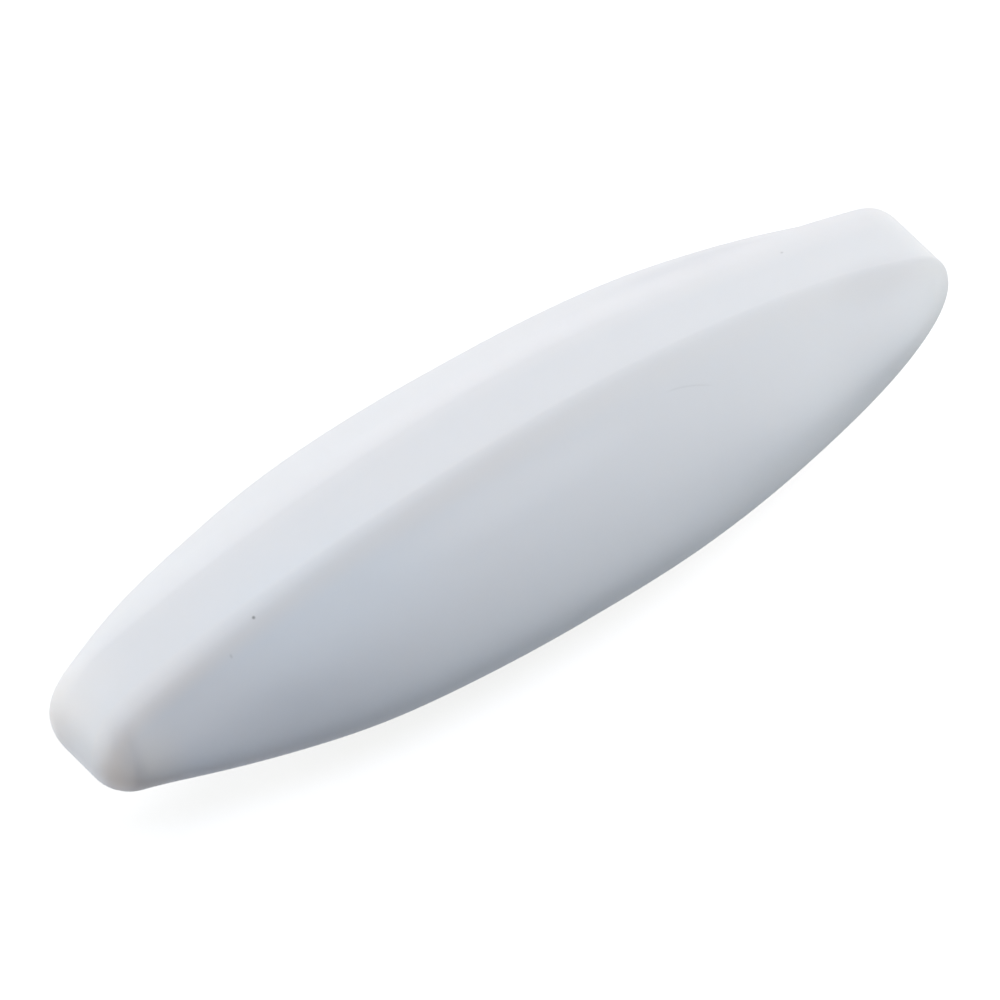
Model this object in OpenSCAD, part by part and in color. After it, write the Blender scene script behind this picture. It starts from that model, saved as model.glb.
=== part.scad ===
// Oval magnetic stir bar: a rod magnet sealed in a moulded PTFE jacket.
// X runs along the bar, Y from dome to dome, Z up from band to band.
// The bar lies on its lower band. The origin is the middle of that band.

/* [Jacket] */
// Length from tip to tip
jacket_length = 70; // [56:0.5:90]
// Height across the two bands at mid length
jacket_height = 18.4; // [15:0.1:22]
// Thickness across the two domes at mid length
jacket_thickness = 20.9; // [17:0.1:26]
// Radius of the blunt tips, seen from the side
tip_radius = 4.1; // [3.5:0.1:5.5]
// Distance between the two narrow lands that frame the domes
land_spacing = 6.2; // [4.6:0.1:8]
// Radius of the rounded edges between the plain band and the lands
edge_radius = 1.3; // [0.4:0.05:1.8]

/* [Domes] */
// Width of the land beside a dome at mid length
side_land = 0.25; // [0:0.05:0.8]
// Width of the land beyond the ends of a dome
end_land = 0.7; // [0.3:0.05:2]
// Radius of a dome's foot at its ends, seen from the side
foot_radius = 3.4; // [2.2:0.1:4.5]
// Hollow rounding where a dome rises out of its land
foot_blend = 0.45; // [0.1:0.05:0.9]
// How long a dome's crest stays high before it falls away to the tips
crest_hold = 2.15; // [1.6:0.05:3]
// How steeply the crest runs out at the tips: 1 is a plain arc, less is blunter
crest_runout = 0.72; // [0.6:0.01:1]

/* [Magnet] */
// PTFE beyond each end of the magnet
end_wall = 12; // [10:0.5:16]
// PTFE between the magnet and the nearer pair of faces at mid length
side_wall = 4.7; // [3.8:0.05:6]
// Chamfer on the magnet's end edges
magnet_chamfer = 0.8; // [0.2:0.1:1.5]
// Gap left all round the magnet by the shrinkage of the jacket
magnet_fit = 0.05; // [0.02:0.01:0.2]

/* [Hidden] */

// Steps from mid length to a tip, and from the middle of a face to its edge
STATIONS = 34;
ACROSS = 15;
// A dome's section stops changing its proportions this far from the end of its foot
HELD_END = 0.3;
ROUND_FN = 96;

half_length = jacket_length / 2;
half_height = jacket_height / 2;
half_land = land_spacing / 2;

magnet_diameter = min(jacket_height, jacket_thickness) - 2 * side_wall;
magnet_length = jacket_length - 2 * end_wall;

// An oval in the side view, centred on the bar: on each side a long flank arc runs tangent into
// the arcs of the two tips. It is kept as
// [tip radius, centre of the tip's arc, flank radius, sink of the flank's centre, x of the joint].
function oval(reach, high, tip) =
    let (
        centre = reach - tip,
        flank = (centre * centre + high * high - tip * tip) / (high - tip) / 2,
        sink = flank - high
    )
    [tip, centre, flank, sink, centre * (1 + tip / norm([centre, sink]))];
TIP = 0;
CENTRE = 1;
FLANK = 2;
SINK = 3;
JOINT = 4;

outline = oval(half_length, half_height, tip_radius);
foot_end = half_length - end_land;
foot = oval(foot_end, half_height - side_land, foot_radius);

// Square of an oval's half height at x, below zero beyond its ends
function span(o, x) =
    abs(x) <= o[JOINT]
        ? pow(sqrt(o[FLANK] * o[FLANK] - x * x) - o[SINK], 2)
        : o[TIP] * o[TIP] - pow(abs(x) - o[CENTRE], 2);

// Distance of the point x, z from an oval it lies in, measured square to the oval
function depth(o, x, z) =
    let (past = abs(x) - o[CENTRE])
    max(0, o[SINK] * past > o[CENTRE] * abs(z)
        ? o[TIP] - norm([past, z])
        : o[FLANK] - norm([x, abs(z) + o[SINK]]));

// Rise of a dome over its land: a parabola across the bar under a crest that falls away to the
// tips. It is zero round the foot and negative outside it.
crest_rise = jacket_thickness / 2 - half_land;
dome_rise = crest_rise - foot_blend * foot_blend / crest_rise;
function dome(x, z) =
    let (held = min(abs(x), foot_end - HELD_END))
    dome_rise * pow(1 - pow(held / foot_end, crest_hold), crest_runout)
        * (span(foot, x) - z * z) / span(foot, held);

// Land and dome as one face: the hollow blend never lets it fall below the land.
function blended(rise) = (rise + sqrt(rise * rise + 4 * foot_blend * foot_blend)) / 2;

// Fall of the rounded edge at a distance from the band
function edge_fall(inset) =
    let (q = max(0, edge_radius - inset))
    edge_radius - sqrt(edge_radius * edge_radius - q * q);

// Height of a face over the bar's middle plane
function face(x, z) = half_land + blended(dome(x, z)) - edge_fall(depth(outline, x, z));

// Whole section at x: one face from the top band to the lower band, then the other face back up
function ring(x) =
    let (
        high = sqrt(max(0, span(outline, x))),
        side = [for (j = [-ACROSS:ACROSS]) let (z = -high * sin(90 * j / ACROSS)) [z, face(x, z)]],
        n = len(side)
    )
    concat(
        [for (p = side) [x, p[1], half_height + p[0]]],
        [for (j = [1:n]) [x, -side[n - j][1], half_height + side[n - j][0]]]
    );
FACE_POINTS = 2 * ACROSS + 1;
RING = 2 * FACE_POINTS;
function next(j) = (j + 1) % RING;

// Stations crowd towards the tips, where the outline turns fastest.
stations = [for (i = [1 - STATIONS:STATIONS - 1]) half_length * sin(90 * i / STATIONS)];
RINGS = len(stations);

// Each tip ends in a short edge from face to face.
function tip_edge(x) = [
    [x, face(x, 0), half_height],
    [x, -face(x, 0), half_height]
];

// Fan from a tip's edge to the ring beside it: each face's half of the ring belongs to its own
// corner, and the two bands each close with a face of four sides.
function tip_fan(edge, base, turned) =
    let (
        faces = concat(
            [for (j = [0:FACE_POINTS - 2]) [edge, base + j, base + j + 1]],
            [[edge, base + FACE_POINTS - 1, base + FACE_POINTS, edge + 1]],
            [for (j = [FACE_POINTS:RING - 2]) [edge + 1, base + j, base + j + 1]],
            [[edge + 1, base + RING - 1, base, edge]]
        )
    )
    [for (f = faces) turned ? [for (k = [1:len(f)]) f[len(f) - k]] : f];

// The moulded form before the magnet's pocket is taken out of it
module jacket_form() {
    points = concat(
        [for (x = stations) each ring(x)],
        tip_edge(-half_length),
        tip_edge(half_length)
    );
    first_edge = RINGS * RING;
    skin = [
        for (i = [0:RINGS - 2], j = [0:RING - 1])
            let (
                a = i * RING + j,
                b = i * RING + next(j),
                c = a + RING,
                d = b + RING
            )
            each [[a, c, b], [b, c, d]]
    ];
    polyhedron(
        points = points,
        faces = concat(
            skin,
            tip_fan(first_edge, 0, false),
            tip_fan(first_edge + 2, (RINGS - 1) * RING, true)
        ),
        convexity = 2
    );
}

// A rod on the bar's long axis with chamfered ends, grown by gap on every side
module rod(gap) {
    r = magnet_diameter / 2 + gap;
    l = magnet_length / 2 + gap;
    translate([0, 0, half_height])
        rotate([0, 90, 0])
            rotate_extrude($fn = ROUND_FN)
                polygon([
                    [0, -l],
                    [r - magnet_chamfer, -l],
                    [r, -l + magnet_chamfer],
                    [r, l - magnet_chamfer],
                    [r - magnet_chamfer, l],
                    [0, l]
                ]);
}

module ptfe_jacket() {
    color("#eef1f5")
        difference() {
            jacket_form();
            rod(magnet_fit);
        }
}

module bar_magnet() {
    color("#5b5f63") rod(0);
}

ptfe_jacket();
bar_magnet();
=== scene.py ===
"""Looks of an oval magnetic stir bar: a seamless moulded PTFE jacket round a cast rod magnet.

The jacket's skin follows the solid's formula on a much finer grid. Here its values also differ
from face to face and drift along the bar, and the faces have low swells. All lengths are in
metres, in the part's own frame: X along the bar, Y from dome to dome, Z up.
"""

import logging
import math
from dataclasses import dataclass, field
from enum import Enum

import bpy
import numpy as np
from mathutils import Matrix, Vector


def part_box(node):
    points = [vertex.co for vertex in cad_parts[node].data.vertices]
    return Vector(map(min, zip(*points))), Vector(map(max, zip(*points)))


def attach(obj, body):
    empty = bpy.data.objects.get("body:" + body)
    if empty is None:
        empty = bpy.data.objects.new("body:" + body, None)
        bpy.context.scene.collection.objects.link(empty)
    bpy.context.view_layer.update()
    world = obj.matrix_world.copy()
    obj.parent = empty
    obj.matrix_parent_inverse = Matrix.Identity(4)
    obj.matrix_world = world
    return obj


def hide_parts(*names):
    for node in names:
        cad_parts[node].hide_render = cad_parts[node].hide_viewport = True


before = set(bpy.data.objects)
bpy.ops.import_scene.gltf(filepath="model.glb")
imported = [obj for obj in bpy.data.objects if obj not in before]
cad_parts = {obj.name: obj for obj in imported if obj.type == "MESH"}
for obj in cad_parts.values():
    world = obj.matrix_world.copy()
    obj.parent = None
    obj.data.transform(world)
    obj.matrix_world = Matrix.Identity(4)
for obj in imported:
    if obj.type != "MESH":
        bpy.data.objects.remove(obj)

MM = 0.001
IMAGE_SIDE = 1000
WHITE = (1.0, 1.0, 1.0)

# A Mix node's sockets for colours, which share their names with its other sockets.
MIX_SHARE, MIX_FIRST, MIX_SECOND, MIX_RESULT = 0, 6, 7, 2

log = logging.getLogger("stir_bar")

Colour = tuple[float, float, float]
Point = tuple[float, float, float]

# What a node's input takes: another node's socket, or a value.
Socket = bpy.types.NodeSocket
Number = Socket | float
Triple = Socket | Point
Tint = Socket | Colour


def mm(*lengths: float) -> tuple[float, ...]:
    """Millimetres as metres."""
    return tuple(length * MM for length in lengths)


class Slot(Enum):
    """The record's material slots."""

    PTFE = "ptfe"
    MAGNET = "magnet"


class Crease(Enum):
    """The two lines where a face meets the band, by the skin's attribute of distances."""

    FRONT = "front_crease"
    BACK = "back_crease"


@dataclass(frozen=True)
class Box:
    """A node's box in the part's frame."""

    low: Vector
    high: Vector

    @classmethod
    def of(cls, node: str) -> "Box":
        """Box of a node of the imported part."""
        low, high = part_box(node)
        return cls(Vector(low), Vector(high))

    @property
    def size(self) -> Vector:
        """Length, thickness and height."""
        return self.high - self.low

    @property
    def centre(self) -> Vector:
        """Middle of the box."""
        return (self.high + self.low) / 2


@dataclass(frozen=True)
class Oval:
    """An oval in the bar's side view: two flank arcs that run tangent into two tip arcs.

    The flank arc's centre lies below the long axis by `sink`, on the line that passes through
    the tip arc's centre and the point where the two arcs meet.

    Attributes:
        reach: Distance of its tips from the middle of the bar.
        half_height: Half the oval's height at the middle of the bar.
        tip: Radius of the tip arcs.
    """

    reach: float
    half_height: float
    tip: float

    @property
    def centre(self) -> float:
        """Distance of a tip arc's centre from the middle of the bar."""
        return self.reach - self.tip

    @property
    def flank(self) -> float:
        """Radius of the flank arcs: (centre^2 + height^2 - tip^2) / (2 (height - tip))."""
        squares = self.centre**2 + self.half_height**2 - self.tip**2
        return squares / (2 * (self.half_height - self.tip))

    @property
    def sink(self) -> float:
        """Distance of a flank arc's centre from the long axis."""
        return self.flank - self.half_height

    @property
    def joint(self) -> float:
        """Where along the bar the flank arc meets the tip arc."""
        return self.centre * (1 + self.tip / math.hypot(self.centre, self.sink))

    def span(self, x: np.ndarray) -> np.ndarray:
        """Square of the oval's half height along the bar, below zero beyond its ends.

        Args:
            x: Places along the bar.

        Returns:
            (sqrt(flank^2 - x^2) - sink)^2 up to the joint, then tip^2 - (|x| - centre)^2.
        """
        along = np.abs(x)
        on_flank = np.sqrt(self.flank**2 - np.minimum(along, self.joint) ** 2) - self.sink
        return np.where(along <= self.joint, on_flank**2, self.tip**2 - (along - self.centre) ** 2)

    def depth(self, x: np.ndarray, z: np.ndarray) -> np.ndarray:
        """Distance of points inside the oval from its line, square to it.

        Args:
            x: Places along the bar.
            z: Heights over the long axis.

        Returns:
            The arc's radius less the distance from that arc's centre.
        """
        past = np.abs(x) - self.centre
        beside = np.abs(z)
        by_tip = self.tip - np.hypot(past, beside)
        by_flank = self.flank - np.hypot(x, beside + self.sink)
        nearer_tip = self.sink * past > self.centre * beside
        return np.maximum(0.0, np.where(nearer_tip, by_tip, by_flank))


@dataclass(frozen=True)
class Outline:
    """The line round a face: half an oval for each end, met at their shared widest point.

    Attributes:
        start: The oval of the -X half.
        end: The oval of the +X half.
    """

    start: Oval
    end: Oval

    @property
    def reach(self) -> float:
        """Distance of the tips from the middle of the bar."""
        return self.end.reach

    def span(self, x: np.ndarray) -> np.ndarray:
        """Square of the line's half height along the bar."""
        return np.where(x < 0, self.start.span(x), self.end.span(x))

    def half(self, x: np.ndarray) -> np.ndarray:
        """Half height along the bar, 0 beyond the tips."""
        return np.sqrt(np.maximum(0.0, self.span(x)))

    def depth(self, x: np.ndarray, z: np.ndarray) -> np.ndarray:
        """Distance of points inside the line from it."""
        return np.where(x < 0, self.start.depth(x, z), self.end.depth(x, z))


class Graph:
    """A short way to write a material's or the world's nodes."""

    def __init__(self, owner: bpy.types.Material | bpy.types.World) -> None:
        """Starts an empty node tree on a material or a world."""
        owner.use_nodes = True
        self.tree = owner.node_tree
        self.tree.nodes.clear()

    def add(self, kind: str, **settings: str | bool) -> bpy.types.Node:
        """Adds a node.

        Args:
            kind: The node's type, without the leading "ShaderNode".
            settings: Properties of the node, by name.

        Returns:
            The new node.
        """
        node = self.tree.nodes.new(f"ShaderNode{kind}")
        for name, value in settings.items():
            setattr(node, name, value)
        return node

    def feed(self, socket: Socket, source: Number | tuple[float, ...]) -> None:
        """Links a socket to another one, or sets its value.

        Args:
            socket: The input.
            source: The socket to link it to, or the value.
        """
        if isinstance(source, Socket):
            self.tree.links.new(source, socket)
        else:
            socket.default_value = source

    def maths(self, operation: str, *terms: Number, clamp: bool = False) -> Socket:
        """Joins numbers by one operation of a Math node.

        Args:
            operation: The node's operation.
            terms: Its inputs, each a socket or a number.
            clamp: Whether the result is held between 0 and 1.

        Returns:
            The result.
        """
        node = self.add("Math", operation=operation, use_clamp=clamp)
        for socket, term in zip(node.inputs, terms):
            self.feed(socket, term)
        return node.outputs[0]

    def vector(self, operation: str, *terms: Triple, out: str = "Vector") -> Socket:
        """Joins vectors by one operation of a Vector Math node.

        Args:
            operation: The node's operation.
            terms: Its inputs, each a socket or a triple.
            out: The output's name, "Value" for a number.

        Returns:
            The result.
        """
        node = self.add("VectorMath", operation=operation)
        for socket, term in zip(node.inputs, terms):
            self.feed(socket, term)
        return node.outputs[out]

    def away(self, place: Socket, centre: Point, reach: Point) -> Socket:
        """Distance from a centre, counted in reaches: the length of (place - centre) / reach.

        Args:
            place: Object coordinates.
            centre: Where the distance is 0.
            reach: How far it is to a distance of 1 along X, Y and Z.

        Returns:
            The distance.
        """
        offset = self.vector("SUBTRACT", place, centre)
        return self.vector("LENGTH", self.vector("DIVIDE", offset, reach), out="Value")

    def smooth(self, value: Socket, start: float, end: float) -> Socket:
        """Smooth step of a value.

        Args:
            value: The socket that is looked at.
            start: Where the step is 0.
            end: Where it is 1.

        Returns:
            The step, from 0 to 1.
        """
        node = self.add("MapRange", interpolation_type="SMOOTHSTEP")
        levels = {"Value": value, "From Min": start, "From Max": end, "To Min": 0.0, "To Max": 1.0}
        for name, level in levels.items():
            self.feed(node.inputs[name], level)
        return node.outputs["Result"]

    def mix(self, share: Number, first: Tint, second: Tint) -> Socket:
        """Blend of two colours.

        Args:
            share: Share of the second colour, from 0 to 1.
            first: A socket or a colour.
            second: A socket or a colour.

        Returns:
            The blended colour.
        """
        node = self.add("Mix", data_type="RGBA")
        self.feed(node.inputs[MIX_SHARE], share)
        for index, colour in ((MIX_FIRST, first), (MIX_SECOND, second)):
            is_socket = isinstance(colour, Socket)
            self.feed(node.inputs[index], colour if is_socket else (*colour, 1.0))
        return node.outputs[MIX_RESULT]

    def multiply(self, share: Number, first: Tint, second: Tint) -> Socket:
        """Product of two colours.

        Args:
            share: How much of the product is taken, from 0 to 1.
            first: The colour that shows where the share is 0.
            second: The colour that it is multiplied by.

        Returns:
            The tinted colour.
        """
        product = self.mix(share, first, second)
        product.node.blend_type = "MULTIPLY"
        return product

    def attribute(self, name: str) -> Socket:
        """Number that the mesh carries at its points."""
        return self.add("Attribute", attribute_name=name).outputs["Fac"]

    def noise(self, place: Socket, size: float, detail: float) -> Socket:
        """Cloudy pattern.

        Args:
            place: Object coordinates.
            size: How wide its blots are.
            detail: How many finer layers lie over them.

        Returns:
            The pattern, from 0 to 1.
        """
        node = self.add("TexNoise", noise_dimensions="3D")
        self.feed(node.inputs["Vector"], place)
        self.feed(node.inputs["Scale"], 1 / size)
        self.feed(node.inputs["Detail"], detail)
        return node.outputs["Fac"]

    def place(self) -> Socket:
        """Object coordinates."""
        return self.add("TexCoord").outputs["Object"]

    def seen(self) -> Socket:
        """Tells the rays that show a surface from the rays that light one.

        Returns:
            1 on rays from the camera, in reflections and through glass, 0 on all others.
        """
        path = self.add("LightPath")
        seen = self.maths("ADD", path.outputs["Is Camera Ray"], path.outputs["Is Glossy Ray"])
        return self.maths("ADD", seen, path.outputs["Is Transmission Ray"], clamp=True)

    def principled(self, **values: Number | Colour) -> bpy.types.Node:
        """Principled shader, linked to the output.

        Args:
            values: Inputs by name, with "_" for a blank. A socket is linked, a value is set.

        Returns:
            The shader's node.
        """
        shader = self.add("BsdfPrincipled")
        for name, value in values.items():
            self.feed(shader.inputs[name.replace("_", " ")], value)
        self.feed(self.add("OutputMaterial").inputs["Surface"], shader.outputs[0])
        return shader


@dataclass(frozen=True)
class Speck:
    """A dark grain pressed into the jacket's skin.

    Attributes:
        darkness: Share of the dirt's colour at its middle.
        stretch: How far it is drawn out along X, Y and Z.
    """

    at: Point
    radius: float
    darkness: float
    stretch: Point = (1.0, 1.0, 1.0)


@dataclass(frozen=True)
class Hairline:
    """A fine curved scratch, drawn on the -Y dome by its X and Z.

    Attributes:
        bow: How far its middle rises over the straight line.
        width: Distance from its line at which it is gone.
        darkness: Share of the dirt's colour on its line.
    """

    start: tuple[float, float]
    end: tuple[float, float]
    bow: float
    width: float
    darkness: float


@dataclass(frozen=True)
class CreaseTintAndHighlight:
    """A tinted line along a crease, stronger at one tip; on the back crease, a painted highlight.

    Attributes:
        at: Millimetres from the crease, inwards on the face and negative on the band.
        width: Millimetres from there to where the tint is gone.
        shares: Strength towards the -X tip and towards the +X tip.
    """

    crease: Crease
    at: float
    width: float
    tint: Colour
    shares: tuple[float, float]


@dataclass(frozen=True)
class Patch:
    """A soft-edged part of the skin, tinted by a factor, as far from `at` as `reach`."""

    at: Point
    reach: Point
    tint: Colour


@dataclass(frozen=True)
class PtfeFinish:
    """White moulded PTFE: satin, a little translucent, with faint clouds and a few marks.

    Attributes:
        glow: Share of the light that spreads under the skin.
        glow_reach: How far it spreads.
        glow_colour: How far red, green and blue go of that reach.
        cloud_dim: How much darker the clouds are than the colour.
        drift_tints: The faint warm and cool tints that drift over the skin.
        drift_shift: Moves the drift's pattern away from the clouds'.
        grain_depth: Depth of the skin's fine grain.
        dirt_colour: Colour of the specks and the hairline.
        crease_tint_span: Where along the bar a crease line changes from its first share to its
            last.
        patch_core: Share of a patch's reach that has its full tint.
        speck_core: Share of a speck's radius that has its full darkness.
        hairline_fade: Share of a hairline's length over which an end fades.
    """

    colour: Colour = (0.868, 0.880, 0.900)
    roughness: float = 0.55
    specular: float = 0.2
    glow: float = 0.35
    glow_reach: float = 0.5 * MM
    glow_colour: Colour = (1.0, 0.95, 0.9)
    cloud_size: float = 6 * MM
    cloud_detail: float = 3.0
    cloud_dim: float = 0.024
    drift_size: float = 4 * MM
    drift_detail: float = 2.0
    drift_tints: tuple[Colour, Colour] = ((1.006, 1.0, 0.994), (0.994, 1.0, 1.006))
    drift_shift: Point = (0.1, 0.2, 0.3)
    grain_size: float = 0.35 * MM
    grain_detail: float = 2.0
    grain_depth: float = 0.0015 * MM
    dirt_colour: Colour = (0.12, 0.115, 0.11)
    crease_tint_span: tuple[float, float] = mm(-33.0, 20.0)
    patch_core: float = 0.2
    speck_core: float = 0.3
    hairline_fade: float = 0.3
    crease_tints_and_highlights: tuple[CreaseTintAndHighlight, ...] = (
        # Warm tint along the front crease, stronger towards the -X tip.
        CreaseTintAndHighlight(Crease.FRONT, 0.48, 0.75, (1.035, 1.0, 0.964), (1.0, 0.25)),
        # Painted highlight: lighter along the back crease, strongest towards the +X tip.
        CreaseTintAndHighlight(Crease.BACK, -0.1, 1.1, (1.030, 1.020, 1.012), (0.4, 1.0)),
    )
    tint_light_and_shade_patches: tuple[Patch, ...] = (
        Patch(mm(-34.0, -5.5, 9.0), mm(5.0, 3.4, 9.0), (1.055, 1.0, 0.930)),
        Patch(mm(-35.0, -1.0, 8.0), mm(3.5, 4.0, 5.0), (0.970, 1.0, 1.028)),
        # Painted light: lighter on the band round the -X tip.
        Patch(mm(-33.0, 1.5, 11.5), mm(4.5, 3.2, 5.0), (1.050, 1.035, 1.020)),
        Patch(mm(-18.0, -4.0, 15.0), mm(14.0, 6.5, 7.0), (0.976, 1.0, 1.020)),
        # Painted shade: darker in the hollow under the front crease near the +X tip.
        Patch(mm(28.5, -3.0, 13.8), mm(5.5, 2.3, 3.5), (0.958, 0.958, 0.961)),
        # Painted shade: darker on the back dome next to the back crease, right of the middle.
        Patch(mm(19.0, 4.6, 15.5), mm(9.0, 2.6, 4.0), (0.940, 0.945, 0.955)),
        # Painted light: lighter on the front face just under the front crease, round the middle.
        Patch(mm(-4.0, -5.4, 16.8), mm(15.0, 2.0, 2.2), (1.036, 1.036, 1.036)),
    )
    specks: tuple[Speck, ...] = (
        Speck(mm(24.2, 1.48, 15.42), 0.15 * MM, 0.4, (1.5, 1.0, 1.0)),
        Speck(mm(-22.44, -2.71, 15.58), 0.18 * MM, 0.65),
        Speck(mm(-24.92, -3.57, 14.36), 0.2 * MM, 0.14, (0.65, 1.0, 1.9)),
    )
    hairlines: tuple[Hairline, ...] = (
        Hairline(mm(9.7, 16.64), mm(13.7, 15.55), 0.18 * MM, 0.06 * MM, 0.07),
    )

    def material(self) -> bpy.types.Material:
        """Builds the jacket's material.

        Returns:
            The material.
        """
        made = bpy.data.materials.new("moulded_ptfe")
        graph = Graph(made)
        place = graph.place()
        bump = graph.add("Bump")
        graph.feed(bump.inputs["Strength"], 1.0)
        graph.feed(bump.inputs["Distance"], self.grain_depth)
        graph.feed(bump.inputs["Height"], graph.noise(place, self.grain_size, self.grain_detail))
        shader = graph.principled(
            Base_Color=self._tint(graph, place),
            Roughness=self.roughness,
            Specular_IOR_Level=self.specular,
            Subsurface_Weight=self.glow,
            Subsurface_Radius=self.glow_colour,
            Subsurface_Scale=self.glow_reach,
            Normal=bump.outputs[0],
        )
        shader.subsurface_method = "RANDOM_WALK"
        return made

    def _tint(self, graph: Graph, place: Socket) -> Socket:
        """Colour of the skin with its clouds, drifts, tints, painted light and shade, and marks.

        Args:
            graph: The material's nodes.
            place: Object coordinates.

        Returns:
            The colour.
        """
        split = graph.add("SeparateXYZ")
        graph.feed(split.inputs[0], place)
        x, y, z = split.outputs

        cloud = graph.noise(place, self.cloud_size, self.cloud_detail)
        dim = tuple(part * (1 - self.cloud_dim) for part in self.colour)
        tint = graph.mix(cloud, dim, self.colour)
        shifted = graph.vector("ADD", place, self.drift_shift)
        drift = graph.mix(
            graph.noise(shifted, self.drift_size, self.drift_detail), *self.drift_tints
        )
        tint = graph.multiply(1.0, tint, drift)
        # A warm tint along the front crease and a painted highlight along the back crease.
        for crease_line in self.crease_tints_and_highlights:
            tint = graph.multiply(self._crease_tint_share(graph, x, crease_line), tint, crease_line.tint)
        # Patches that shift the hue, and patches of painted light and painted shade.
        for patch in self.tint_light_and_shade_patches:
            away = graph.away(place, patch.at, patch.reach)
            tint = graph.multiply(graph.smooth(away, 1.0, self.patch_core), tint, patch.tint)
        for speck in self.specks:
            tint = graph.mix(self._speck_share(graph, place, speck), tint, self.dirt_colour)
        for line in self.hairlines:
            tint = graph.mix(self._hairline_share(graph, x, y, z, line), tint, self.dirt_colour)
        return tint

    def _crease_tint_share(self, graph: Graph, x: Socket, crease_line: CreaseTintAndHighlight) -> Socket:
        """Share of a crease line's tint: full at its place by the crease, gone at its width.

        Args:
            graph: The material's nodes.
            x: Place along the bar.
            crease_line: The tinted line along a crease.

        Returns:
            The share.
        """
        crease = graph.attribute(crease_line.crease.value)
        beside = graph.maths("ABSOLUTE", graph.maths("SUBTRACT", crease, crease_line.at))
        core = graph.smooth(beside, crease_line.width, 0.0)
        first, last = crease_line.shares
        turn = graph.smooth(x, *self.crease_tint_span)
        strength = graph.maths("MULTIPLY_ADD", turn, last - first, first)
        return graph.maths("MULTIPLY", core, strength)

    def _speck_share(self, graph: Graph, place: Socket, speck: Speck) -> Socket:
        """Share of a speck's darkness: full in a small ball round it, gone at its radius.

        Args:
            graph: The material's nodes.
            place: Object coordinates.
            speck: The speck.

        Returns:
            The share.
        """
        away = graph.away(place, speck.at, speck.stretch)
        inside = graph.smooth(away, speck.radius, self.speck_core * speck.radius)
        return graph.maths("MULTIPLY", inside, speck.darkness)

    def _hairline_share(
        self, graph: Graph, x: Socket, y: Socket, z: Socket, line: Hairline
    ) -> Socket:
        """Share of a hairline's darkness along a shallow arc on the -Y dome.

        With t running from 0 to 1 along X, the arc's height is the straight line's plus
        4 bow t (1 - t). The share falls with the distance from it and towards both ends.

        Args:
            graph: The material's nodes.
            x: Place along the bar.
            y: Place from dome to dome.
            z: Height.
            line: The hairline.

        Returns:
            The share.
        """
        length = line.end[0] - line.start[0]
        t = graph.maths("DIVIDE", graph.maths("SUBTRACT", x, line.start[0]), length)
        rest = graph.maths("SUBTRACT", 1.0, t)
        arch = graph.maths("MULTIPLY", graph.maths("MULTIPLY", t, rest), 4 * line.bow)
        rise = graph.maths("MULTIPLY_ADD", t, line.end[1] - line.start[1], line.start[1])
        off = graph.maths("ABSOLUTE", graph.maths("SUBTRACT", z, graph.maths("ADD", rise, arch)))
        core = graph.smooth(off, line.width, 0.0)
        fade_in = graph.smooth(t, 0.0, self.hairline_fade)
        fade_out = graph.smooth(rest, 0.0, self.hairline_fade)
        ends = graph.maths("MULTIPLY", fade_in, fade_out)
        share = graph.maths("MULTIPLY", graph.maths("MULTIPLY", core, ends), line.darkness)
        return graph.maths("MULTIPLY", share, graph.maths("LESS_THAN", y, 0.0))


@dataclass(frozen=True)
class CastMagnetFinish:
    """Grey cast magnet alloy, ground bright on its highs and dull in its pores.

    Attributes:
        pore_edges: Levels of the pattern where the pores end and the ground metal begins.
    """

    bright: Colour = (0.34, 0.35, 0.36)
    bright_roughness: float = 0.35
    dull: Colour = (0.20, 0.205, 0.21)
    dull_roughness: float = 0.55
    pore_size: float = 0.5 * MM
    pore_detail: float = 4.0
    pore_edges: tuple[float, float] = (0.35, 0.6)

    def material(self) -> bpy.types.Material:
        """Builds the magnet's material.

        Returns:
            The material.
        """
        made = bpy.data.materials.new("cast_magnet")
        graph = Graph(made)
        pores = graph.noise(graph.place(), self.pore_size, self.pore_detail)
        share = graph.smooth(pores, *self.pore_edges)
        polish = self.bright_roughness - self.dull_roughness
        graph.principled(
            Base_Color=graph.mix(share, self.dull, self.bright),
            Roughness=graph.maths("MULTIPLY_ADD", share, polish, self.dull_roughness),
            Metallic=1.0,
        )
        return made


def quarter_round(depth: np.ndarray, radius: np.ndarray) -> np.ndarray:
    """Fall of a quarter-round edge: r - sqrt(r^2 - (r - depth)^2) as far in as its radius."""
    inward = np.maximum(0.0, radius - depth)
    return radius - np.sqrt(radius**2 - inward**2)


@dataclass(frozen=True)
class Along:
    """A length that drifts from `start` at the -X tip to `end` at the +X tip.

    In between, `middle` pulls the drift its way, as the middle point of a curve does.
    """

    start: float
    middle: float
    end: float

    def at(self, share: np.ndarray) -> np.ndarray:
        """Value by the share of the bar's length, from 0 to 1.

        Args:
            share: Places along the bar.

        Returns:
            start (1 - s)^2 + 2 middle s (1 - s) + end s^2.
        """
        rest = 1 - share
        return self.start * rest**2 + 2 * self.middle * share * rest + self.end * share**2


@dataclass(frozen=True)
class Swell:
    """A broad, very low swelling of a face, or a dent where its height is below zero.

    Attributes:
        x: Place of its middle along the bar.
        z: Height of its middle over the long axis.
        reach_x: How far it spreads along the bar.
        reach_z: How far it spreads up and down.
    """

    x: float
    z: float
    reach_x: float
    reach_z: float
    height: float

    def at(self, x: np.ndarray, z: np.ndarray) -> np.ndarray:
        """Rise over the face: height exp(-(away_x / reach_x)^2 - (away_z / reach_z)^2)."""
        away = ((x - self.x) / self.reach_x) ** 2 + ((z - self.z) / self.reach_z) ** 2
        return self.height * np.exp(-away)


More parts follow.
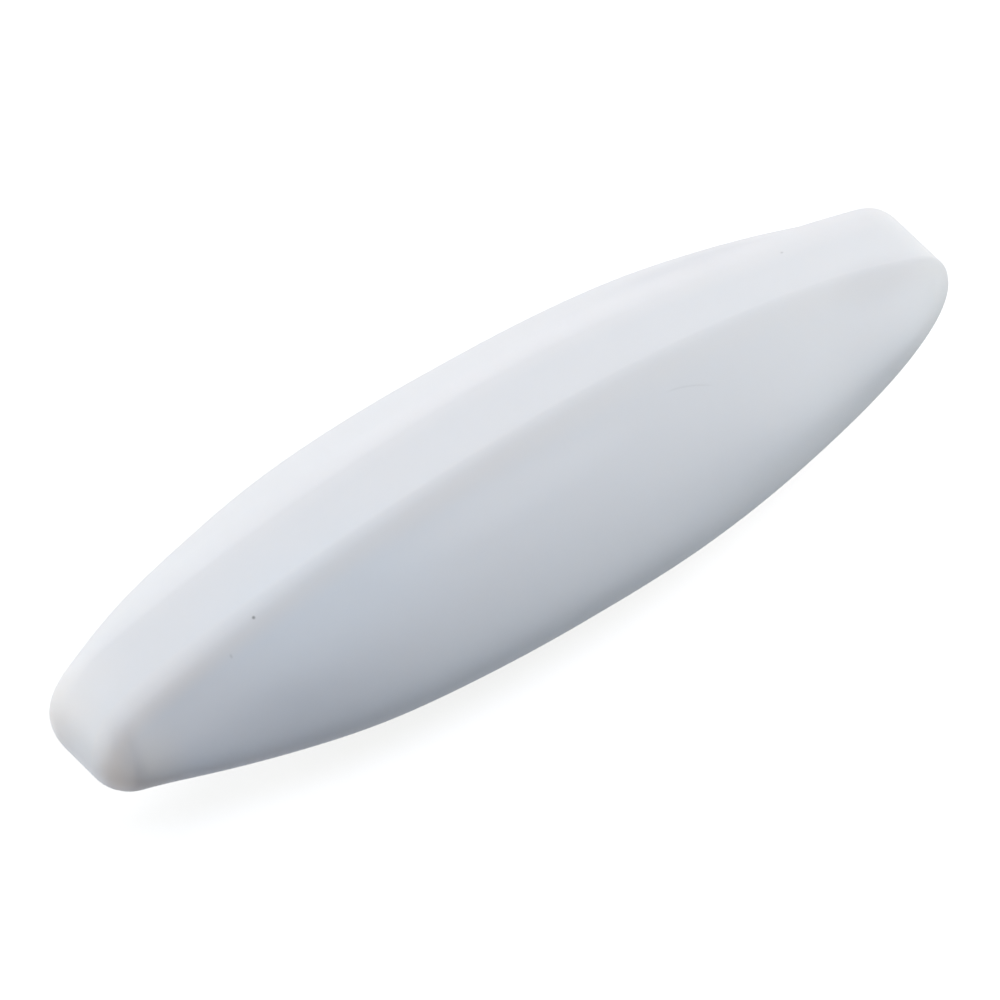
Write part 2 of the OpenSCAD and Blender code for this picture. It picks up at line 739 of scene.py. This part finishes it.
@dataclass(frozen=True)
class Moulding:
    """How one face came out of its half of the mould and was trimmed.

    A pair holds the -X tip's value and the +X tip's.

    Attributes:
        rim: Radius of the rim that runs round into the band.
        edge: Radius of the rounding over the edge of the land.
        sink: How far under the land the dome's foot lies.
        foot_blend: How far the hollow at the dome's foot is filled.
        land: How far the land stands out past half the lands' spacing.
        end_land: Width of the land behind a tip.
        foot_radius: Tip radius of the dome's foot.
        runout: Power by which the crest falls away towards a tip.
        swells: The face's swellings and dents.
    """

    rim: Along
    edge: Along
    sink: Along
    foot_blend: Along
    land: Along
    end_land: tuple[float, float]
    foot_radius: tuple[float, float]
    runout: tuple[float, float]
    swells: tuple[Swell, ...] = ()


FRONT = Moulding(
    rim=Along(*mm(0.29, 0.35, 0.11)),
    edge=Along(*mm(2.40, 1.97, 1.07)),
    sink=Along(*mm(0.18, 0.22, 0.27)),
    foot_blend=Along(*mm(0.86, 0.20, 0.05)),
    land=Along(*mm(0.66, -0.79, -0.13)),
    end_land=mm(1.14, 0.05),
    foot_radius=mm(2.12, 3.88),
    runout=(0.673, 0.726),
    swells=(
        Swell(*mm(-34.8, 0.2, 3.0, 2.0, 0.197)),
        Swell(*mm(-25.6, 1.5, 7.0, 2.6, -0.414)),
        Swell(*mm(-16.2, -3.5, 6.0, 3.0, 0.184)),
        Swell(*mm(1.5, -2.2, 6.0, 3.0, -0.065)),
        Swell(*mm(7.9, -3.8, 6.0, 3.0, 0.054)),
        Swell(*mm(17.5, 3.3, 7.0, 2.0, 0.500)),
        Swell(*mm(21.1, -2.9, 5.0, 3.0, -0.074)),
        Swell(*mm(28.1, 2.6, 7.0, 1.6, 0.499)),
        Swell(*mm(29.3, 2.3, 4.4, 2.3, 0.577)),
        Swell(*mm(33.9, 3.0, 1.5, 1.8, -0.250)),
    ),
)
BACK = Moulding(
    rim=Along(*mm(0.76, 0.89, 1.00)),
    edge=Along(*mm(1.56, 3.00, 0.47)),
    sink=Along(*mm(0.92, -0.19, 0.98)),
    foot_blend=Along(*mm(0.34, 0.36, 1.00)),
    land=Along(*mm(0.52, 0.88, 0.08)),
    end_land=mm(0.73, 0.05),
    foot_radius=mm(4.55, 2.41),
    runout=(0.725, 0.672),
    swells=(
        Swell(*mm(-20.4, 1.5, 4.0, 3.0, -0.105)),
        Swell(*mm(-12.8, 3.3, 5.0, 3.0, 0.054)),
        Swell(*mm(2.2, 2.5, 6.0, 3.0, -0.139)),
        Swell(*mm(15.7, 3.7, 5.0, 3.0, 0.077)),
    ),
)


@dataclass
class Jacket:
    """The moulded jacket: a round-edged band round two domes, each framed by a narrow land.

    Attributes:
        tip_radius: Radius of the outline's arc at the -X tip and at the +X tip.
        land_spacing: Distance between the two lands, before each face's own drift.
        side_land: Width of the land along the flanks.
        held_end: Last bit of the dome's foot, over which the crest no longer falls.
        crest_hold: Power that keeps the crest level round the middle.
        stations: Steps from the middle of the bar to a tip.
        across: Steps from the middle of a face to its edge.
        band_steps: Steps over the band.
        middle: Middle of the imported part, which also gives the length, thickness and height.
        outline: The line round both faces.
    """

    node: str = "ptfe_jacket"
    tip_radius: tuple[float, float] = mm(3.91, 4.30)
    land_spacing: float = 6.2 * MM
    side_land: float = 0.25 * MM
    held_end: float = 0.3 * MM
    crest_hold: float = 2.15
    front: Moulding = FRONT
    back: Moulding = BACK
    stations: int = 196
    across: int = 52
    band_steps: int = 8
    finish: PtfeFinish = field(default_factory=PtfeFinish)
    length: float = field(init=False)
    thickness: float = field(init=False)
    height: float = field(init=False)
    middle: Vector = field(init=False)
    outline: Outline = field(init=False)

    def __post_init__(self) -> None:
        """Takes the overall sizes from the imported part."""
        box = Box.of(self.node)
        self.length, self.thickness, self.height = box.size
        self.middle = box.centre
        reach, half_height = self.length / 2, self.height / 2
        self.outline = Outline(*(Oval(reach, half_height, tip) for tip in self.tip_radius))

    def share(self, x: np.ndarray) -> np.ndarray:
        """Share of the bar's length, from 0 at the -X tip to 1 at the +X tip."""
        return x / self.length + 0.5

    def dome(self, x: np.ndarray, z: np.ndarray, moulding: Moulding) -> np.ndarray:
        """Rise of a dome over its land, negative outside its foot.

        A parabola across the bar, rise = crest (foot^2 - z^2) / foot^2 - sink, under a crest
        (1 - (x / end)^hold)^runout that is held over the last bit of the foot. Each half of
        the bar has its own foot and runout, and the top reaches the part's full thickness.

        Args:
            x: Places along the bar.
            z: Heights over the long axis.
            moulding: The face's own values.

        Returns:
            The rise at each place.
        """
        share = self.share(x)
        sink = moulding.sink.at(share)
        rise = self.thickness / 2 - self.land_spacing / 2 - moulding.land.at(share)
        full = rise - moulding.foot_blend.at(share) ** 2 / rise + sink
        halves = []
        ends = zip(moulding.end_land, moulding.foot_radius, moulding.runout)
        for end_land, radius, runout in ends:
            end = self.length / 2 - end_land
            foot = Oval(end, self.height / 2 - self.side_land, radius)
            held = np.minimum(np.abs(x), end - self.held_end)
            crest = (1 - (held / end) ** self.crest_hold) ** runout
            halves.append(crest * (foot.span(x) - z**2) / foot.span(held))
        return full * np.where(x < 0, *halves) - sink

    def face(self, x: np.ndarray, z: np.ndarray, moulding: Moulding) -> np.ndarray:
        """Distance of a face from the bar's middle plane.

        The face is the higher of two surfaces, a plate with rounded edges and the dome. They
        join over a short hollow, (plate + dome + sqrt((plate - dome)^2 + 4 blend^2)) / 2. The
        face's swells are added, and its rim runs round into the band.

        Args:
            x: Places along the bar.
            z: Heights over the long axis.
            moulding: The face's own values.

        Returns:
            The distance at each place.
        """
        share = self.share(x)
        depth = self.outline.depth(x, z)
        dome = self.dome(x, z, moulding)
        plate = -quarter_round(depth, moulding.edge.at(share))
        blend = moulding.foot_blend.at(share)
        higher = (dome + plate + np.sqrt((dome - plate) ** 2 + 4 * blend**2)) / 2
        land = self.land_spacing / 2 + moulding.land.at(share)
        swelling = sum(swell.at(x, z) for swell in moulding.swells)
        return land + higher + swelling - quarter_round(depth, moulding.rim.at(share))

    def rings(self) -> np.ndarray:
        """Sections of the jacket, one ring of points for each station along the bar.

        Stations lie at half the length times the sine of even steps, so they crowd towards the
        tips, and the points of a face at the half height times such a sine. A ring runs down
        the +Y face, over the lower band, up the -Y face and back over the upper band.

        Returns:
            An array of station, point and coordinate.
        """
        turn = np.linspace(-1, 1, 2 * self.stations + 1)[1:-1] * np.pi / 2
        x = self.outline.reach * np.sin(turn)[:, None]
        high = self.outline.half(x)
        z = high * np.sin(np.linspace(1, -1, 2 * self.across + 1) * np.pi / 2)[None]
        x_face = np.broadcast_to(x, z.shape)
        y_back = self.face(x_face, z, self.back)
        y_front = -self.face(x_face, z, self.front)
        step = np.linspace(0, 1, self.band_steps + 1)[1:-1][None]
        y_under = y_back[:, -1:] * (1 - step) + y_front[:, -1:] * step
        y_over = y_front[:, :1] * (1 - step) + y_back[:, :1] * step
        x_band = np.broadcast_to(x, y_over.shape)
        z_band = np.broadcast_to(high, y_over.shape)
        parts = (
            (x_face, y_back, z),
            (x_band, y_under, -z_band),
            (x_face, y_front[:, ::-1], z[:, ::-1]),
            (x_band, y_over, z_band),
        )
        ring = np.concatenate([np.stack(part, -1) for part in parts], axis=1)
        return ring + np.array([0.0, 0.0, self.middle.z])

    def crease_distances(self, points: np.ndarray) -> tuple[np.ndarray, np.ndarray]:
        """Distances of the skin's points from its two creases.

        On a face the distance is the depth inside the outline. On the band it is less than
        zero, minus the way back to that face's edge. The other face counts as far away.

        Args:
            points: All the skin's points.

        Returns:
            Distances from the -Y crease and from the +Y crease.
        """
        x, y, z = points[:, 0], points[:, 1], points[:, 2] - self.middle.z
        edge = self.outline.half(np.clip(x, -self.outline.reach, self.outline.reach))
        depth = self.outline.depth(x, z)
        front_edge = -self.face(x, edge, self.front)
        back_edge = self.face(x, edge, self.back)
        on_front, on_back = y <= front_edge, y >= back_edge
        far = self.thickness
        front = np.where(on_front, depth, np.where(on_back, -far, front_edge - y))
        back = np.where(on_back, depth, np.where(on_front, -far, y - back_edge))
        return front, back

    def tip_row(self, side: int) -> np.ndarray:
        """Points across the very end of a tip, from the +Y face to the -Y face.

        Args:
            side: -1 for the -X tip, 1 for the +X tip.

        Returns:
            An array of point and coordinate.
        """
        step = np.linspace(0, 1, self.band_steps + 1)
        reach = np.array([side * self.outline.reach])
        level = np.zeros(1)
        back = self.face(reach, level, self.back)
        front = -self.face(reach, level, self.front)
        y = back * (1 - step) + front * step
        return np.stack([np.full_like(y, reach[0]), y, np.full_like(y, self.middle.z)], -1)

    def skin(self) -> tuple[np.ndarray, list[list[int]]]:
        """Points and faces of the jacket's closed skin.

        Each tip is closed onto a short level row of points: a face of the last ring shares
        the row's end on its side, and the two bands share the points between. Next to a shared
        point the cap has a triangle.

        Returns:
            An array of point and coordinate, and each face's point numbers.
        """
        rings = self.rings()
        count, around = rings.shape[:2]
        index = np.arange(count * around).reshape(count, around)
        ahead = np.roll(index, -1, axis=1)
        faces = [np.stack([index[:-1], index[1:], ahead[1:], ahead[:-1]], -1).reshape(-1, 4)]

        face_points = 2 * self.across + 1
        inner = np.arange(1, self.band_steps)
        back_end, front_end = np.zeros(face_points, int), np.full(face_points, self.band_steps)
        to_row = np.concatenate([back_end, inner, front_end, inner[::-1]])
        points = [rings.reshape(-1, 3)]
        for side, ring in ((-1, index[0]), (1, index[-1])):
            first = sum(len(part) for part in points)
            points.append(self.tip_row(side))
            near, far = to_row + first, np.roll(to_row, -1) + first
            cap = np.stack([ring, np.roll(ring, -1), far, near], -1)
            cap = cap[:, ::-1] if side > 0 else cap
            square = near != far
            triangles = cap[~square][:, 1:] if side > 0 else cap[~square][:, :3]
            faces += [cap[square], triangles]
        return np.concatenate(points), [face for part in faces for face in part.tolist()]

    def build(self) -> bpy.types.Object:
        """Makes the jacket's skin, dresses it and puts it in the solid's place.

        Returns:
            The skin.
        """
        points, faces = self.skin()
        mesh = bpy.data.meshes.new("jacket_skin")
        mesh.from_pydata(points.tolist(), [], faces)
        mesh.polygons.foreach_set("use_smooth", np.ones(len(mesh.polygons), bool))
        mesh.materials.append(self.finish.material())
        for crease, values in zip(Crease, self.crease_distances(points)):
            numbers = mesh.attributes.new(crease.value, "FLOAT", "POINT")
            numbers.data.foreach_set("value", values / MM)
        mesh.update()
        skin_object = bpy.data.objects.new("jacket_skin", mesh)
        bpy.context.scene.collection.objects.link(skin_object)
        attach(skin_object, "root")
        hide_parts(self.node)
        return skin_object


@dataclass
class Magnet:
    """The rod magnet sealed in the jacket."""

    node: str = "bar_magnet"
    finish: CastMagnetFinish = field(default_factory=CastMagnetFinish)

    def dress(self) -> bpy.types.Object:
        """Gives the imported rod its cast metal.

        Returns:
            The rod.
        """
        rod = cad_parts[self.node]
        rod.data.materials.clear()
        rod.data.materials.append(self.finish.material())
        return rod


@dataclass(frozen=True)
class Lamp:
    """A soft round lamp that points at the bar.

    Attributes:
        azimuth: Where it hangs round the bar, in degrees from +X towards +Y.
        elevation: Degrees over the level of the bar.
        power: Its power in watts.
        distance: How far from the bar it hangs.
        across: How wide it is.
    """

    name: str
    azimuth: float
    elevation: float
    power: float
    colour: Colour
    distance: float = 1.2
    across: float = 0.6

    def place(self, target: Vector) -> None:
        """Hangs the lamp and turns it to the target.

        Args:
            target: The point that it shines at.
        """
        data = bpy.data.lights.new(self.name, "AREA")
        data.shape = "DISK"
        data.size = self.across
        data.energy = self.power
        data.color = self.colour
        turn, rise = math.radians(self.azimuth), math.radians(self.elevation)
        away = Vector((
            math.cos(turn) * math.cos(rise), math.sin(turn) * math.cos(rise), math.sin(rise),
        ))
        lamp = bpy.data.objects.new(self.name, data)
        lamp.location = target + away * self.distance
        lamp.rotation_euler = away.to_track_quat("Z", "Y").to_euler()
        bpy.context.scene.collection.objects.link(lamp)
        log.info("lamp %s: %.2f W, %.2f m across", self.name, self.power, self.across)


@dataclass(frozen=True)
class Floor:
    """A plain pale floor under the bar.

    Attributes:
        lift: What is added to its colour on the rays that show it.
    """

    half_side: float = 3.0
    colour: Colour = (0.436, 0.441, 0.482)
    lift: Colour = (0.800, 0.800, 0.780)

    def build(self) -> None:
        """Lays the floor.

        It is matt, and keeps the bar's shadow. To the camera and in reflections it is lifted to
        white, which puts no light on the bar.
        """
        made = bpy.data.materials.new("pale_floor")
        graph = Graph(made)
        matt = graph.add("BsdfDiffuse")
        graph.feed(matt.inputs["Color"], (*self.colour, 1.0))
        lift = graph.add("Emission")
        graph.feed(lift.inputs["Color"], (*self.lift, 1.0))
        graph.feed(lift.inputs["Strength"], graph.seen())
        both = graph.add("AddShader")
        graph.feed(both.inputs[0], matt.outputs[0])
        graph.feed(both.inputs[1], lift.outputs[0])
        graph.feed(graph.add("OutputMaterial").inputs["Surface"], both.outputs[0])

        side = self.half_side
        square = [(-side, -side, 0), (side, -side, 0), (side, side, 0), (-side, side, 0)]
        mesh = bpy.data.meshes.new("floor")
        mesh.from_pydata(square, [], [(0, 1, 2, 3)])
        mesh.materials.append(made)
        floor = bpy.data.objects.new("floor", mesh)
        bpy.context.scene.collection.objects.link(floor)
        log.info("floor: %.1f m square", 2 * side)


@dataclass(frozen=True)
class Surround:
    """The white that shows behind everything. It puts no light on the bar."""

    colour: Colour = WHITE

    def build(self) -> None:
        """Makes the world: white to the camera and in reflections, black as light."""
        world = bpy.data.worlds.new("surround")
        bpy.context.scene.world = world
        graph = Graph(world)
        back = graph.add("Background")
        graph.feed(back.inputs["Color"], (*self.colour, 1.0))
        graph.feed(back.inputs["Strength"], graph.seen())
        graph.feed(graph.add("OutputWorld").inputs["Surface"], back.outputs[0])
        log.info("surround: seen, but no light")


@dataclass(frozen=True)
class Viewpoint:
    """Where the camera stands, given by the view's direction and its scale in the image.

    Azimuth 0 looks along +Y. A positive roll turns the camera anticlockwise.

    Attributes:
        px_per_m: Pixels of the image to a metre at the bar's middle.
        middle_px: Where in the image the bar's middle shows.
        sensor: Width of the camera's sensor in millimetres.
        clip: The nearest and the farthest distance that the camera sees.
    """

    azimuth: float = -38.276
    elevation: float = 48.489
    roll: float = 0.550
    distance: float = 1.4
    px_per_m: float = 15360.3
    middle_px: tuple[float, float] = (502.37, 499.05)
    sensor: float = 36.0
    clip: tuple[float, float] = (0.05, 20.0)

    def place(self, middle: Vector) -> None:
        """Makes the camera and aims it.

        Args:
            middle: The bar's middle, which shows at middle_px.
        """
        turn, rise = math.radians(self.azimuth), math.radians(self.elevation)
        back = Vector((
            math.sin(turn) * math.cos(rise), -math.cos(turn) * math.cos(rise), math.sin(rise),
        ))
        level = Vector((math.cos(turn), math.sin(turn), 0.0))
        spin = Matrix.Rotation(math.radians(self.roll), 3, back)
        right, up = spin @ level, spin @ back.cross(level)
        offset = [(px - IMAGE_SIDE / 2) / self.px_per_m for px in self.middle_px]
        place = middle + back * self.distance - right * offset[0] + up * offset[1]
        data = bpy.data.cameras.new("camera")
        data.sensor_width = self.sensor
        data.lens = self.px_per_m * self.distance * self.sensor / IMAGE_SIDE
        data.clip_start, data.clip_end = self.clip
        facing = Matrix((right, up, back)).transposed().to_4x4()
        camera = bpy.data.objects.new("camera", data)
        camera.matrix_world = Matrix.Translation(place) @ facing
        bpy.context.scene.collection.objects.link(camera)
        bpy.context.scene.camera = camera
        log.info("camera: %.0f mm lens at %.2f m", data.lens, self.distance)


@dataclass
class Studio:
    """Floor, lamps, surround and camera."""

    floor: Floor = field(default_factory=Floor)
    surround: Surround = field(default_factory=Surround)
    view: Viewpoint = field(default_factory=Viewpoint)
    lamps: tuple[Lamp, ...] = (
        Lamp("back_right_low", 60.0, 10.0, 2.19, (0.930, 0.920, 1.000)),
        Lamp("back", 108.0, 48.0, 4.97, (0.968, 1.000, 0.990)),
        Lamp("back_left_low", 150.0, 10.0, 7.94, (1.000, 0.973, 0.933)),
        Lamp("front_right_high", 300.0, 68.0, 6.47, (0.771, 0.849, 1.000)),
        Lamp("front_right_low", 330.0, 10.0, 3.06, (0.644, 0.943, 1.000)),
        Lamp("right", 345.0, 28.0, 5.40, (1.000, 0.810, 0.631)),
    )

    def build(self, middle: Vector) -> None:
        """Sets the studio up round the bar's middle.

        Args:
            middle: The bar's middle.
        """
        self.floor.build()
        self.surround.build()
        for lamp in self.lamps:
            lamp.place(middle)
        self.view.place(middle)
        bpy.context.scene.view_settings.view_transform = "Standard"


def report(piece: bpy.types.Object, slot: Slot) -> None:
    """Logs a finished piece.

    Args:
        piece: The piece.
        slot: Its material slot.
    """
    points, faces = len(piece.data.vertices), len(piece.data.polygons)
    log.info("%s: %d points, %d faces, slot %s", piece.name, points, faces, slot.value)


def main() -> None:
    """Builds the bar and its studio."""
    logging.basicConfig(level=logging.INFO, format="%(name)s: %(message)s")
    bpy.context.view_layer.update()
    jacket = Jacket()
    report(jacket.build(), Slot.PTFE)
    report(Magnet().dress(), Slot.MAGNET)
    Studio().build(jacket.middle)


if __name__ == "__main__":
    main()
